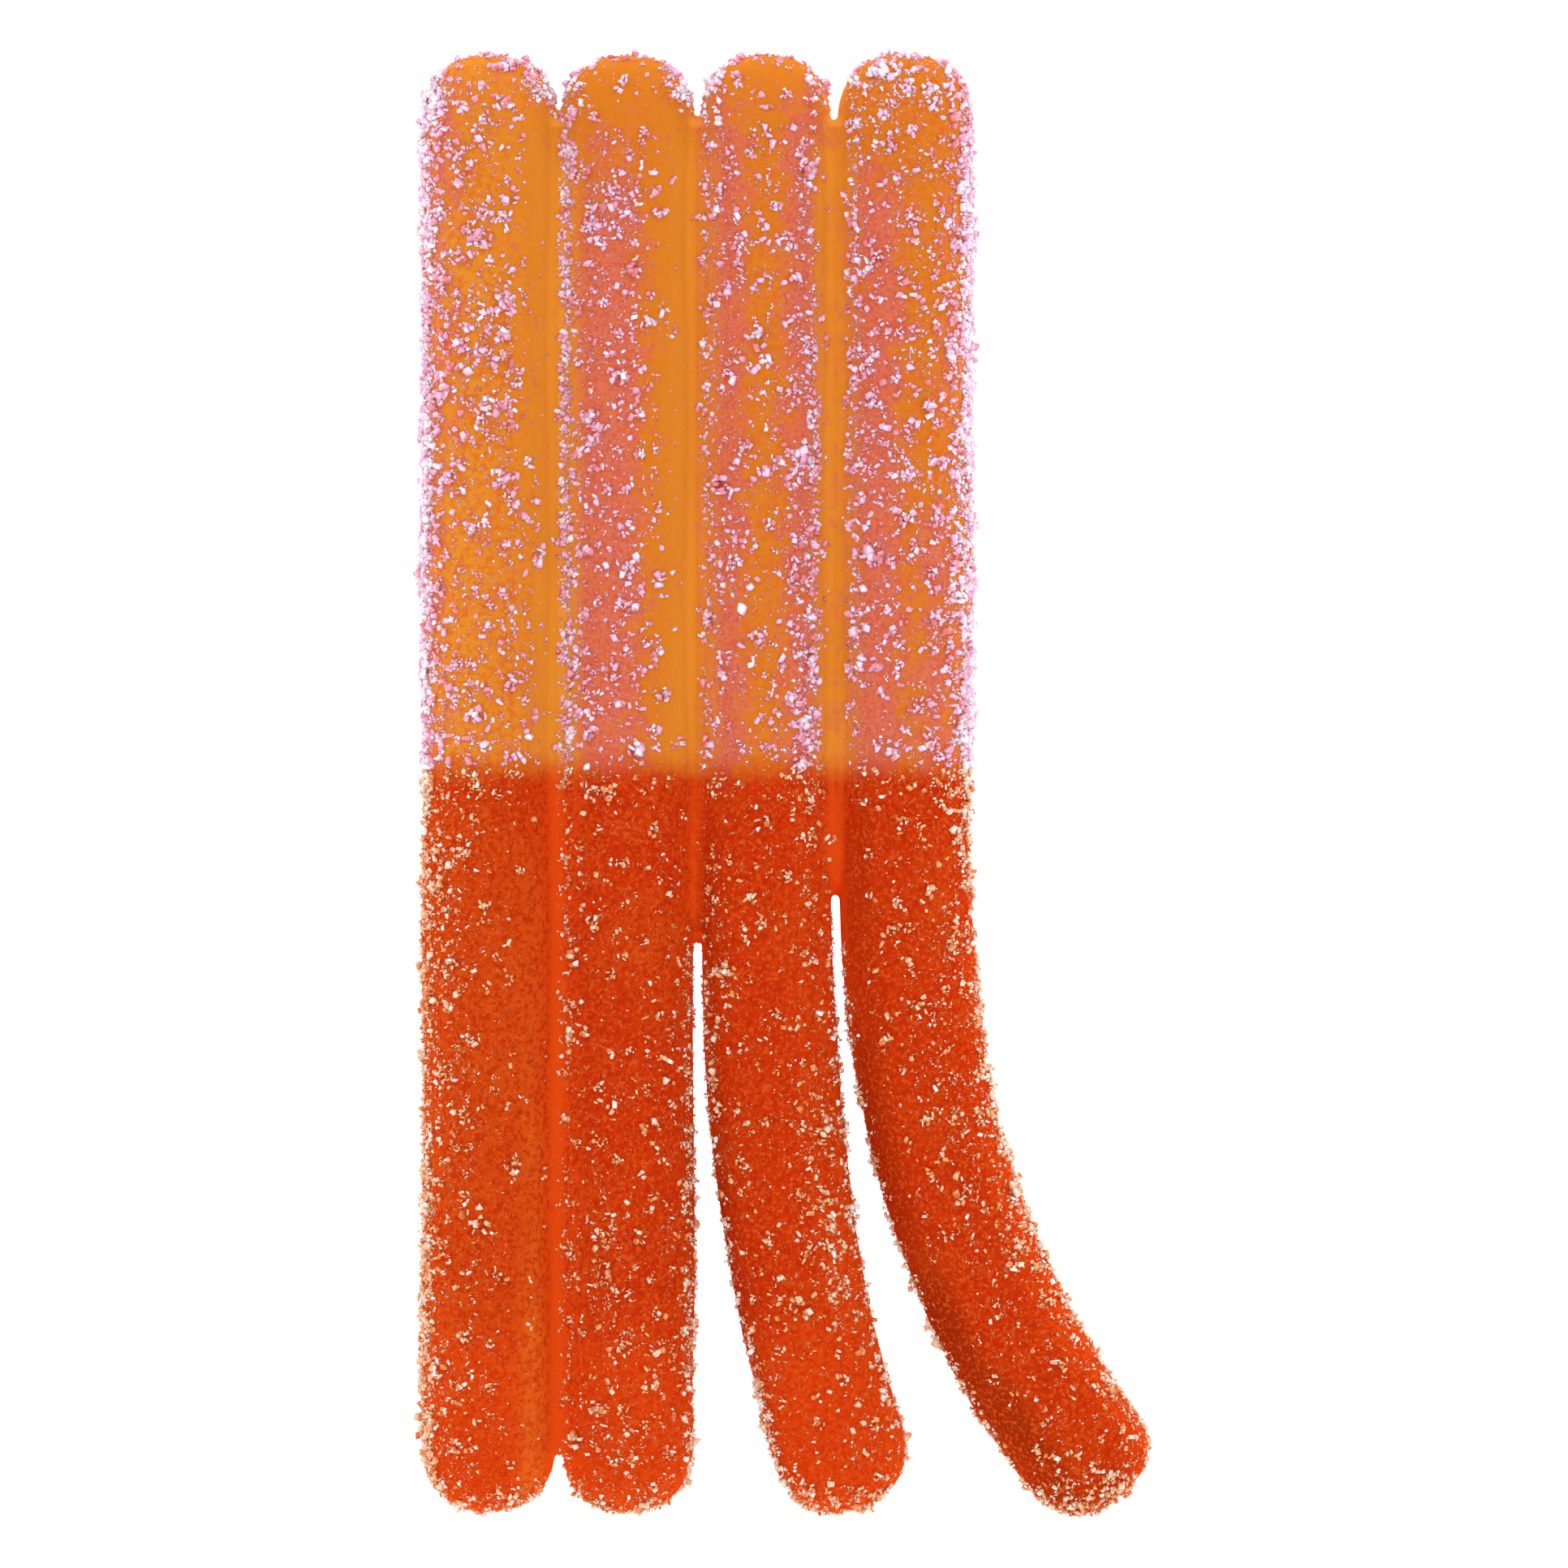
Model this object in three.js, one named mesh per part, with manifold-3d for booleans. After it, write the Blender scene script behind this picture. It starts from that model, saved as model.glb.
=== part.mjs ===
// Fizzy chew stick: four fruit jelly strands moulded side by side and coated in sour sugar.
// The strands are fused along thin webs, and two of them are peeled apart over their lower half.
// Millimetres, +Z up. The stick lies on its flat back with the rounded side up and its length along Y.
// The origin is the bottom centre of the stick, and +Y is the orange end.
import * as THREE from "three";
import { mergeVertices } from "three/addons/utils/BufferGeometryUtils.js";
import Module from "manifold-3d";

// Driving dimensions
const strandPitch = 8.0;
const strandWidth = 7.65;
const strandHeight = 7.0;
const stickLength = 84.5;

// Section of one strand: a rounded crown over a flat foot
const wideShare = 0.4; // height of the widest line, as a share of the strand's height
const crownPower = 2.2;
const footPower = 2.8;
const footSink = 0.3; // the section reaches this far under the floor, and is cut off flat there
const sectionSides = 20;

// Rounded ends, and the gentle swell of moulded jelly along each strand
const capPower = 2.25;
const capSteps = 5;
const bodySteps = 19;
const tipShare = 0.42; // height of the point at the very end, as a share of the strand's height
const swellWidth = 0.06;
const swellHeight = 0.14;
const swellLength = 23;
const swellShift = 1.9; // how much the swell's phase differs from one strand to the next

// One entry for each strand, from left to right as seen from above with the orange end up.
// start is how much shorter the strand is at the orange end, flare is how far its other end is
// peeled to the side, bendFrom is where that bend starts, measured from the orange end, and the
// sugared band across the strand runs from sugarFrom to sugarTo, as shares of its half width.
const strands = [
  { start: 0.1, flare: 0, bendFrom: 0, bendPower: 1, sugarFrom: -1, sugarTo: 0.5 },
  { start: 0.1, flare: 0, bendFrom: 0, bendPower: 1, sugarFrom: -0.95, sugarTo: 0.55 },
  { start: 0.1, flare: 4.2, bendFrom: 44, bendPower: 2.65, sugarFrom: -0.95, sugarTo: 0.75 },
  { start: 0, flare: 10.15, bendFrom: 40, bendPower: 2.95, sugarFrom: -0.6, sugarTo: 1 },
];

// Webs that fuse each strand to the next, from the notch at the orange end to a notch or a split
const webHeight = 4.9;
const webFoot = 0.45;
const webDip = 0.25; // the middle of a web lies this much below its sides
const webHalfWidth = 1.3;
const webSteps = 16;
const webFade = 3; // a web thins out over this length towards a split
const webEnd = 0.3; // what is left of a web's height at a split, as a square share
const notch = 3.5;
const webs = [
  { to: stickLength - 3.2, splits: false },
  { to: 51.7, splits: true },
  { to: 48.9, splits: true },
];

// The largest sugar crystals, which are fused to the jelly
const crystalsPerStrand = 62;
const crystalInset = 0.7; // the first and last places lie this far from a strand's ends
const crystalSmall = 0.6;
const crystalLarge = 1.25;
const sizePower = 2.5; // over 1, few crystals are near the largest size
const crystalFlat = 0.6; // least thickness of a crystal, as a share of its length
const crystalSunk = 0.2; // how far a crystal's middle is sunk, as a share of its size
const crystalFloor = 0.9; // no crystal's middle lies lower than this
const crystalGap = 1.2; // least distance between two crystals, as a share of their mean size
const webClearance = 0.35; // no crystal's middle lies lower than this over a web

const halfWidth = strandWidth / 2;
const wideHeight = strandHeight * wideShare;
const tipHeight = strandHeight * tipShare;
const ribbonWidth = strandPitch * (strands.length - 1) + strandWidth;
const originX = (ribbonWidth + strands[strands.length - 1].flare) / 2;
const originY = stickLength / 2;

const signedPower = (value, power) => Math.sign(value) * Math.abs(value) ** power;
const fraction = (value) => value - Math.floor(value);
const mix = (a, b, share) => a + (b - a) * share;

// A point of the full section at an angle, before it is cut off flat at the floor
function sectionPoint(angle) {
  const up = Math.sin(angle);
  const power = 2 / (up >= 0 ? crownPower : footPower);
  const reach = up >= 0 ? strandHeight - wideHeight : wideHeight + footSink;
  return {
    side: halfWidth * signedPower(Math.cos(angle), power),
    height: wideHeight + reach * signedPower(up, power),
  };
}

// How full the strand is at a distance from its end: 0 at the tip, 1 once past the rounded cap
function capFullness(fromTip) {
  const share = Math.min(1, Math.max(0, fromTip / halfWidth));
  return (1 - (1 - share) ** capPower) ** (1 / capPower);
}

// The strand's middle line and heading at a distance along it from the orange end
function strandLine(index, along) {
  const { flare, bendFrom, bendPower } = strands[index];
  const bodyEnd = stickLength - halfWidth;
  const bendLength = bodyEnd - bendFrom;
  const body = Math.min(along, bodyEnd);
  const share = Math.max(0, body - bendFrom) / bendLength;
  const heading = Math.atan(((flare * bendPower) / bendLength) * share ** (bendPower - 1));
  const beyond = along - body; // past the body the line runs straight on into the cap
  return {
    x: halfWidth + strandPitch * index + flare * share ** bendPower + beyond * Math.sin(heading),
    y: stickLength - body - beyond * Math.cos(heading),
    heading,
  };
}

// A point on a strand's skin, at a distance along it and an angle round its section
function skinPoint(index, along, angle) {
  const full = Math.min(capFullness(along - strands[index].start), capFullness(stickLength - along));
  const swell = Math.sin((along / swellLength) * 2 * Math.PI + index * swellShift);
  const point = sectionPoint(angle);
  const side = point.side * full * (1 + (swellWidth * swell) / halfWidth);
  const rise = swellHeight * swell * Math.max(0, Math.sin(angle));
  const line = strandLine(index, along);
  return new THREE.Vector3(
    line.x + side * Math.cos(line.heading),
    line.y + side * Math.sin(line.heading),
    Math.max(0, mix(tipHeight, point.height + rise, full)),
  );
}

// The outward direction of the skin there
function skinNormal(index, along, angle) {
  const step = 0.01;
  const here = skinPoint(index, along, angle);
  const onward = skinPoint(index, along + step, angle).sub(here);
  const round = skinPoint(index, along, angle + step).sub(here);
  return round.cross(onward).normalize();
}

// A closed skin over rings of points, with a single point at each end
function closedSkin(first, rings, final) {
  const sides = rings[0].length;
  const points = [first, ...rings.flat(), final];
  const faces = [];
  const at = (ring, side) => 1 + ring * sides + (side % sides);
  for (let side = 0; side < sides; side++) {
    faces.push(0, at(0, side + 1), at(0, side));
    for (let ring = 0; ring + 1 < rings.length; ring++) {
      faces.push(at(ring, side), at(ring, side + 1), at(ring + 1, side + 1));
      faces.push(at(ring, side), at(ring + 1, side + 1), at(ring + 1, side));
    }
    faces.push(points.length - 1, at(rings.length - 1, side), at(rings.length - 1, side + 1));
  }
  const geometry = new THREE.BufferGeometry().setFromPoints(points);
  geometry.setIndex(faces);
  return geometry;
}

// Distances along a strand at which it gets a ring of points, close together in the caps
function ringStations(index) {
  const { start } = strands[index];
  const cap = [];
  for (let step = 1; step <= capSteps; step++) {
    cap.push(halfWidth * (1 - Math.cos((step / capSteps) * (Math.PI / 2))));
  }
  const body = [];
  for (let step = 1; step < bodySteps; step++) {
    body.push(mix(start + halfWidth, stickLength - halfWidth, step / bodySteps));
  }
  const ending = cap.map((distance) => stickLength - distance).reverse();
  return [...cap.map((distance) => start + distance), ...body, ...ending];
}

function strandGeometry(index) {
  const rings = ringStations(index).map((along) => {
    const ring = [];
    for (let side = 0; side < sectionSides; side++) {
      ring.push(skinPoint(index, along, ((side + 0.5) / sectionSides) * 2 * Math.PI));
    }
    return ring;
  });
  return closedSkin(skinPoint(index, strands[index].start, 0), rings, skinPoint(index, stickLength, 0));
}

// The web between a strand and its right-hand neighbour
function webGeometry(index) {
  const { to, splits } = webs[index];
  const middle = halfWidth + strandPitch * (index + 0.5);
  const rings = [];
  for (let step = 0; step <= webSteps; step++) {
    const along = mix(notch, to, step / webSteps);
    const fade = splits ? Math.sqrt(Math.min(1, webEnd + (to - along) / webFade)) : 1;
    const point = (side, height) =>
      new THREE.Vector3(middle + side * webHalfWidth, stickLength - along, height);
    const roof = [1, 0.5, 0, -0.5, -1].map((side) =>
      point(side, webHeight * fade - webDip * (1 - side * side)),
    );
    const foot = [-1, 0, 1].map((side) => point(side, webFoot));
    rings.push([...roof, ...foot]);
  }
  const middleOf = (ring) => {
    const sum = ring.reduce((total, point) => total.add(point), new THREE.Vector3());
    return sum.divideScalar(ring.length);
  };
  return closedSkin(middleOf(rings[0]), rings, middleOf(rings[webSteps]));
}

// Whether a crystal there would be lost in a web
function inWeb(point) {
  return webs.some(({ to }, index) => {
    const middle = halfWidth + strandPitch * (index + 0.5);
    const along = stickLength - point.y;
    return (
      Math.abs(point.x - middle) < webHalfWidth &&
      along < to &&
      point.z < webHeight + webClearance
    );
  });
}

// The angle round the section at which the crown has a place across, given as a share of its half width
const angleAt = (across) => Math.acos(signedPower(across, crownPower / 2));

// Places for the largest crystals, spread evenly along each strand and across its sugared band.
// The fractions of irrational steps stand in for chance, so that every draw is the same each time.
function crystalPlaces() {
  const places = [];
  strands.forEach(({ start, sugarFrom, sugarTo }, index) => {
    for (let turn = 0; turn < crystalsPerStrand; turn++) {
      const draw = turn + index * crystalsPerStrand;
      const share = (turn + fraction(draw * 0.7548776662)) / crystalsPerStrand;
      const along = mix(start + crystalInset, stickLength - crystalInset, share);
      const angle = mix(angleAt(sugarTo), angleAt(sugarFrom), fraction(draw * 0.6180339887));
      const size = mix(crystalSmall, crystalLarge, fraction(draw * 0.569840291) ** sizePower);
      const point = skinPoint(index, along, angle);
      const crowded = places.some(
        (other) => other.point.distanceTo(point) < (crystalGap * (other.size + size)) / 2,
      );
      if (point.z > crystalFloor && !inWeb(point) && !crowded) {
        places.push({ point, size, normal: skinNormal(index, along, angle), draw });
      }
    }
  });
  return places;
}

// A blocky crystal, turned at random and sunk a little into the skin
function crystalGeometry({ point, size, normal, draw }) {
  const depth = size * mix(crystalFlat, 1, fraction(draw * 0.4142135624));
  const height = size * mix(crystalFlat, 1, fraction(draw * 0.7320508076));
  const geometry = new THREE.BoxGeometry(size, depth, height);
  const turn = new THREE.Euler(
    fraction(draw * 0.2360679775) * Math.PI,
    fraction(draw * 0.6457513111) * Math.PI,
    fraction(draw * 0.3166247904) * Math.PI,
  );
  const middle = point.clone().addScaledVector(normal, -crystalSunk * size);
  geometry.applyQuaternion(new THREE.Quaternion().setFromEuler(turn));
  return geometry.translate(middle.x, middle.y, middle.z);
}

const wasm = await Module();
wasm.setup();

// A closed three.js geometry as a manifold solid
function solidFrom(geometry) {
  const bare = geometry.clone();
  bare.deleteAttribute("normal");
  bare.deleteAttribute("uv");
  const merged = mergeVertices(bare);
  return new wasm.Manifold(
    new wasm.Mesh({
      numProp: 3,
      vertProperties: merged.attributes.position.array,
      triVerts: new Uint32Array(merged.index.array),
    }),
  );
}

// A manifold solid as a three.js geometry
function geometryFrom(solid) {
  const made = solid.getMesh();
  const geometry = new THREE.BufferGeometry();
  geometry.setAttribute("position", new THREE.BufferAttribute(made.vertProperties, 3));
  geometry.setIndex(new THREE.BufferAttribute(made.triVerts, 1));
  geometry.computeVertexNormals();
  return geometry;
}

// The whole stick as one solid: strands, webs and the largest crystals
function stickGeometry() {
  const pieces = [
    ...strands.map((strand, index) => strandGeometry(index)),
    ...webs.map((web, index) => webGeometry(index)),
    ...crystalPlaces().map(crystalGeometry),
  ];
  return geometryFrom(pieces.map(solidFrom).reduce((whole, piece) => whole.add(piece)));
}

const sugaredJelly = new THREE.MeshStandardMaterial({ color: 0xd2561c, roughness: 0.5, metalness: 0 });
const stick = new THREE.Mesh(stickGeometry(), sugaredJelly);
stick.name = "chew_stick";
stick.position.set(-originX, -originY, 0);

const group = new THREE.Group();
group.add(stick);
export default group;
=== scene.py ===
"""The looks of a fizzy chew stick: fruit jelly strands in two colours, coated in sour sugar.

The jelly repeats the dimensions of the CAD part and stands for its solid. Shapes are worked out
in millimetres and become metres when a mesh is made. +Y is the orange end, and +Z is up.
"""

import math
from collections import namedtuple

import bmesh
import bpy
import numpy as np
from mathutils import Matrix, Vector, noise
from mathutils.bvhtree import BVHTree


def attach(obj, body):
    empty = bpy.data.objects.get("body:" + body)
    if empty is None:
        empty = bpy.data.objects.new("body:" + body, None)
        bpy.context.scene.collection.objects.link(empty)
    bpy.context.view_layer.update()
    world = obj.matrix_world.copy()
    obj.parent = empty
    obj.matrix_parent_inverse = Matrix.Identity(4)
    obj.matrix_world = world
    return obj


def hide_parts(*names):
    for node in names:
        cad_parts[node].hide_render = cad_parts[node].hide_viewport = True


MM = 0.001

# Driving dimensions, as in the CAD part
STRAND_PITCH = 8.0
STRAND_WIDTH = 7.65
STRAND_HEIGHT = 7.0
STICK_LENGTH = 84.5
WIDE_SHARE = 0.4
CROWN_POWER = 2.2
FOOT_POWER = 2.8
FOOT_SINK = 0.3
CAP_POWER = 2.25
TIP_SHARE = 0.42
SWELL_WIDTH = 0.06
SWELL_HEIGHT = 0.14
SWELL_LENGTH = 23.0
SWELL_SHIFT = 1.9
WEB_HEIGHT = 4.9
WEB_FOOT = 0.45
WEB_DIP = 0.25
WEB_HALF_WIDTH = 1.3
WEB_FADE = 3.0
WEB_END = 0.3
NOTCH = 3.5

# sugar_from and sugar_to bound the CAD part's large crystals across a strand, as shares of half its
# width
Strand = namedtuple("Strand", "start flare bend_from bend_power sugar_from sugar_to")
STRANDS = [
    Strand(start=0.1, flare=0.0, bend_from=0.0, bend_power=1.0, sugar_from=-1.0, sugar_to=0.5),
    Strand(start=0.1, flare=0.0, bend_from=0.0, bend_power=1.0, sugar_from=-0.95, sugar_to=0.55),
    Strand(start=0.1, flare=4.2, bend_from=44.0, bend_power=2.65, sugar_from=-0.95, sugar_to=0.75),
    Strand(start=0.0, flare=10.15, bend_from=40.0, bend_power=2.95, sugar_from=-0.6, sugar_to=1.0),
]
Web = namedtuple("Web", "to splits")
WEBS = [
    Web(to=STICK_LENGTH - 3.2, splits=False),
    Web(to=51.7, splits=True),
    Web(to=48.9, splits=True),
]

# The large crystals of the CAD part, which are caked lumps here
LUMPS_PER_STRAND = 62
LUMP_INSET = 0.7
LUMP_SMALL = 0.6
LUMP_LARGE = 1.25
LUMP_SIZE_POWER = 2.5
LUMP_FLOOR = 0.9
LUMP_GAP = 1.2
WEB_CLEARANCE = 0.35
# Steps that spread the lumps evenly: along a strand, round it, and over the sizes
LUMP_TURNS = (0.7548776662, 0.6180339887, 0.569840291)

HALF_WIDTH = STRAND_WIDTH / 2
WIDE_HEIGHT = STRAND_HEIGHT * WIDE_SHARE
TIP_HEIGHT = STRAND_HEIGHT * TIP_SHARE
RIBBON_WIDTH = STRAND_PITCH * (len(STRANDS) - 1) + STRAND_WIDTH
ORIGIN_X = (RIBBON_WIDTH + STRANDS[-1].flare) / 2
ORIGIN_Y = STICK_LENGTH / 2

# Jelly surface
FOOT_LIFT = 0.12  # the jelly's flat back is this far over the floor, on its sugar
STRAND_SIDES = 72
RING_STEP = 0.5
CAP_RINGS = 14
WEB_ROOF = (1.0, 0.5, 0.0, -0.5, -1.0)  # places across a web of the points on its roof
WEB_FLOOR = (-1.0, 0.0, 1.0)
VOXEL = 0.16
SMOOTH_FACTOR = 0.5
SMOOTH_STEPS = 14
KEPT_FACES = 0.2
SMOOTH_REACH = (0.4, 0.2)  # how much further the smoothing draws a web's two ends out
RELIEF = ((0.3, 0.07), (0.9, 0.035))  # noise frequency in 1/mm, height in mm
RELIEF_ROOM = 1.5  # how wide a gap is whose walls have the full relief

# Distance from the orange end at which the colour changes, and how long the change is
CHANGE_AT = 41.4
CHANGE_LENGTH = 2.3

# Photograph
PHOTO_SIDE = 1932
PIXELS_PER_MM = 21.25
STICK_CENTRE = (966.4, 964.0)
LENS = 200.0
SENSOR = 36.0
OUTLINE_HEIGHT = 3.0  # height of the strands' widest line, at which the photograph's scale holds

SEED = 11


# Shape of the strands

def signed_power(value, power):
    return np.sign(value) * np.abs(value) ** power


def smoothstep(value, low, high):
    share = np.clip((value - low) / (high - low), 0.0, 1.0)
    return share * share * (3.0 - 2.0 * share)


def mix(a, b, share):
    return a + (b - a) * share


def section_point(angle):
    """Side and height of the full section at an angle."""
    up = np.sin(angle)
    power = np.where(up >= 0, 2 / CROWN_POWER, 2 / FOOT_POWER)
    reach = np.where(up >= 0, STRAND_HEIGHT - WIDE_HEIGHT, WIDE_HEIGHT + FOOT_SINK)
    side = HALF_WIDTH * signed_power(np.cos(angle), power)
    return side, WIDE_HEIGHT + reach * signed_power(up, power)


def cap_fullness(from_tip):
    share = np.clip(from_tip / HALF_WIDTH, 0.0, 1.0)
    return (1 - (1 - share) ** CAP_POWER) ** (1 / CAP_POWER)


def strand_fullness(strand, along):
    return np.minimum(cap_fullness(along - strand.start), cap_fullness(STICK_LENGTH - along))


def strand_line(index, along):
    """x, y and heading of a strand's middle line at distances from the orange end."""
    strand = STRANDS[index]
    body_end = STICK_LENGTH - HALF_WIDTH
    bend_length = body_end - strand.bend_from
    body = np.minimum(along, body_end)
    share = np.maximum(0.0, body - strand.bend_from) / bend_length
    slope = strand.flare * strand.bend_power / bend_length
    heading = np.arctan(slope * share ** (strand.bend_power - 1))
    beyond = along - body
    x = HALF_WIDTH + STRAND_PITCH * index + strand.flare * share**strand.bend_power
    x = x + beyond * np.sin(heading)
    y = STICK_LENGTH - body - beyond * np.cos(heading)
    return x - ORIGIN_X, y - ORIGIN_Y, heading


def skin_point(index, along, angle):
    """Points on a strand's skin, at distances along it and angles round its section."""
    along, angle = np.broadcast_arrays(np.asarray(along, float), np.asarray(angle, float))
    full = strand_fullness(STRANDS[index], along)
    swell = np.sin(along / SWELL_LENGTH * 2 * math.pi + index * SWELL_SHIFT)
    side, height = section_point(angle)
    side = side * full * (1 + SWELL_WIDTH * swell / HALF_WIDTH)
    rise = SWELL_HEIGHT * swell * np.maximum(0.0, np.sin(angle))
    x, y, heading = strand_line(index, along)
    z = np.maximum(FOOT_LIFT, mix(TIP_HEIGHT, height + rise, full))
    return np.stack([x + side * np.cos(heading), y + side * np.sin(heading), z], axis=-1)


def places_across(points):
    """Each point's place across every strand, -1 to 1 on the strand itself, and its place along."""
    along = np.clip(ORIGIN_Y - points[:, 1], 0.0, STICK_LENGTH)
    across = []
    for index in range(len(STRANDS)):
        x, _, heading = strand_line(index, along)
        across.append((points[:, 0] - x) * np.cos(heading) / HALF_WIDTH)
    return np.array(across), along


def strand_place(points):
    """The nearest strand of each point, its place across that strand, and its place along it."""
    across, along = places_across(points)
    nearest = np.abs(across).argmin(axis=0)
    return nearest, across[nearest, np.arange(len(points))], along


def room_beside(points, lip=0.0):
    """Distance from each point to the side of the next strand, where no web joins the two.

    The webs count as open for the length of the lip at both ends.
    """
    across, along = places_across(points)
    beyond = [
        np.abs(across[index]) - strand_fullness(strand, along) for index, strand in enumerate(STRANDS)
    ]
    room = np.sort(beyond, axis=0)[1] * HALF_WIDTH
    nearest, beside, _ = strand_place(points)
    web_ends = np.array([web.to for web in WEBS] + [0.0])
    web_end = web_ends[np.where(beside > 0, nearest, nearest - 1)]
    joined_here = (along > NOTCH + lip) & (along < web_end - lip)
    return np.where(joined_here, HALF_WIDTH, room)


# Jelly mesh

def closed_skin(first, rings, final):
    """Vertices and faces of a closed skin over rings of points, with a point at each end."""
    count, sides = rings.shape[:2]
    vertices = np.concatenate([[first], rings.reshape(-1, 3), [final]])
    faces = []
    last = len(vertices) - 1
    for side in range(sides):
        after = (side + 1) % sides
        faces.append((0, 1 + after, 1 + side))
        for ring in range(count - 1):
            here = 1 + ring * sides
            faces.append((here + side, here + after, here + sides + after, here + sides + side))
        here = 1 + (count - 1) * sides
        faces.append((last, here + side, here + after))
    return vertices, faces


def strand_skin(index):
    strand = STRANDS[index]
    cap = HALF_WIDTH * (1 - np.cos(np.arange(1, CAP_RINGS + 1) / CAP_RINGS * math.pi / 2))
    body_from = strand.start + HALF_WIDTH
    body_to = STICK_LENGTH - HALF_WIDTH
    body = np.linspace(body_from, body_to, int((body_to - body_from) / RING_STEP))[1:-1]
    stations = np.concatenate([strand.start + cap, body, STICK_LENGTH - cap[::-1]])
    angles = (np.arange(STRAND_SIDES) + 0.5) / STRAND_SIDES * 2 * math.pi
    rings = skin_point(index, stations[:, None], angles[None, :])
    first, final = (skin_point(index, along, 0.0) for along in (strand.start, STICK_LENGTH))
    return closed_skin(first, rings, final)


def web_roof(web, along):
    """Height of a web at distances from the orange end. It falls off towards a split."""
    fade = np.sqrt(np.clip(WEB_END + (web.to - along) / WEB_FADE, 0.0, 1.0)) if web.splits else 1.0
    return WEB_HEIGHT * fade


def web_middle(index):
    return HALF_WIDTH + STRAND_PITCH * (index + 0.5) - ORIGIN_X


def web_skin(index):
    web = WEBS[index]
    middle = web_middle(index)
    start, end = NOTCH + SMOOTH_REACH[0], web.to - SMOOTH_REACH[1]
    stations = np.linspace(start, end, int((end - start) / RING_STEP))
    sides = np.array(WEB_ROOF)
    rings = []
    for along in stations:
        y = ORIGIN_Y - along
        roof = web_roof(web, along) - WEB_DIP * (1 - sides**2)
        ring = [(middle + side * WEB_HALF_WIDTH, y, height) for side, height in zip(sides, roof)]
        ring += [(middle + side * WEB_HALF_WIDTH, y, WEB_FOOT) for side in WEB_FLOOR]
        rings.append(ring)
    rings = np.array(rings)
    return closed_skin(rings[0].mean(axis=0), rings, rings[-1].mean(axis=0))


def joined(parts):
    """One list of vertices and one of faces from several."""
    vertices = []
    faces = []
    offset = 0
    for part_vertices, part_faces in parts:
        vertices.append(part_vertices)
        faces += [tuple(offset + corner for corner in face) for face in part_faces]
        offset += len(part_vertices)
    return np.concatenate(vertices), faces


def relief(points):
    """Height of the jelly's uneven skin over its true form, less of it inside a split."""
    heights = [
        sum(height * noise.noise(Vector(point) * frequency) for frequency, height in RELIEF)
        for point in points
    ]
    return np.array(heights) * smoothstep(room_beside(points), 0.0, RELIEF_ROOM)


def vertex_places(mesh):
    places = np.empty(len(mesh.vertices) * 3)
    mesh.vertices.foreach_get("co", places)
    return places.reshape(-1, 3)


def jelly_mesh():
    """The strands and webs fused into one skin, in millimetres."""
    parts = [strand_skin(index) for index in range(len(STRANDS))]
    parts += [web_skin(index) for index in range(len(WEBS))]
    vertices, faces = joined(parts)
    rough = bpy.data.meshes.new("jelly_rough")
    rough.from_pydata(vertices.tolist(), [], faces)
    holder = bpy.data.objects.new("jelly_rough", rough)
    bpy.context.scene.collection.objects.link(holder)
    remesh = holder.modifiers.new("fuse", "REMESH")
    remesh.mode = "VOXEL"
    remesh.voxel_size = VOXEL
    smooth = holder.modifiers.new("soften", "SMOOTH")
    smooth.factor = SMOOTH_FACTOR
    smooth.iterations = SMOOTH_STEPS
    thin = holder.modifiers.new("thin", "DECIMATE")
    thin.ratio = KEPT_FACES
    evaluated = holder.evaluated_get(bpy.context.evaluated_depsgraph_get())
    mesh = bpy.data.meshes.new_from_object(evaluated)
    bpy.data.objects.remove(holder)
    bpy.data.meshes.remove(rough)

    places = vertex_places(mesh)
    normals = np.empty(len(mesh.vertices) * 3)
    mesh.vertex_normals.foreach_get("vector", normals)
    normals = normals.reshape(-1, 3)
    places = places + normals * relief(places)[:, None]
    places[:, 2] = np.maximum(places[:, 2], FOOT_LIFT)
    mesh.vertices.foreach_set("co", places.ravel())
    mesh.update()
    return mesh


# Patches of colour and of sugar, in strand coordinates: along is the distance from the orange end in
# millimetres, and across runs from -1 at a strand's left side to 1 at its right side

Patch = namedtuple("Patch", "strands along across amount")
SUGAR_SOFT = (1.0, 0.07)  # half the width of a patch's edge, along and across
COLOUR_SOFT = (2.5, 0.2)
HAZE_SOFT = (3.0, 0.4)
CREASE_SOFT = (1.0, 0.08)
SHADED_ROOM = (0.4, 1.8)  # how wide a gap is whose walls are fully shaded, and not at all
WEB_LIP = 0.8  # how far the webs' ends are shaded as the gaps are
SHADED_HEIGHT = (3.2, 5.6)  # up to where such walls are fully shaded, and from where not at all
WHOLE = (-2.0, 2.0)


def window(value, low, high, soft):
    """1 between low and high and 0 beyond them, with soft edges."""
    begun = smoothstep(value, low - soft, low + soft)
    return begun * (1 - smoothstep(value, high - soft, high + soft))


def patch_field(patches, soft, strand, across, along):
    """The strongest of the patches at each place."""
    field = np.zeros(len(along))
    for patch in patches:
        inside = window(along, *patch.along, soft[0]) * window(across, *patch.across, soft[1])
        inside = inside * np.isin(strand, patch.strands)
        field = np.maximum(field, patch.amount * inside)
    return field


ORANGE_END = (-5.0, CHANGE_AT + 2.0)
BELOW_CAP = (4.5, CHANGE_AT + 2.0)
RED_END = (CHANGE_AT - 2.0, STICK_LENGTH + 5.0)

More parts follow.
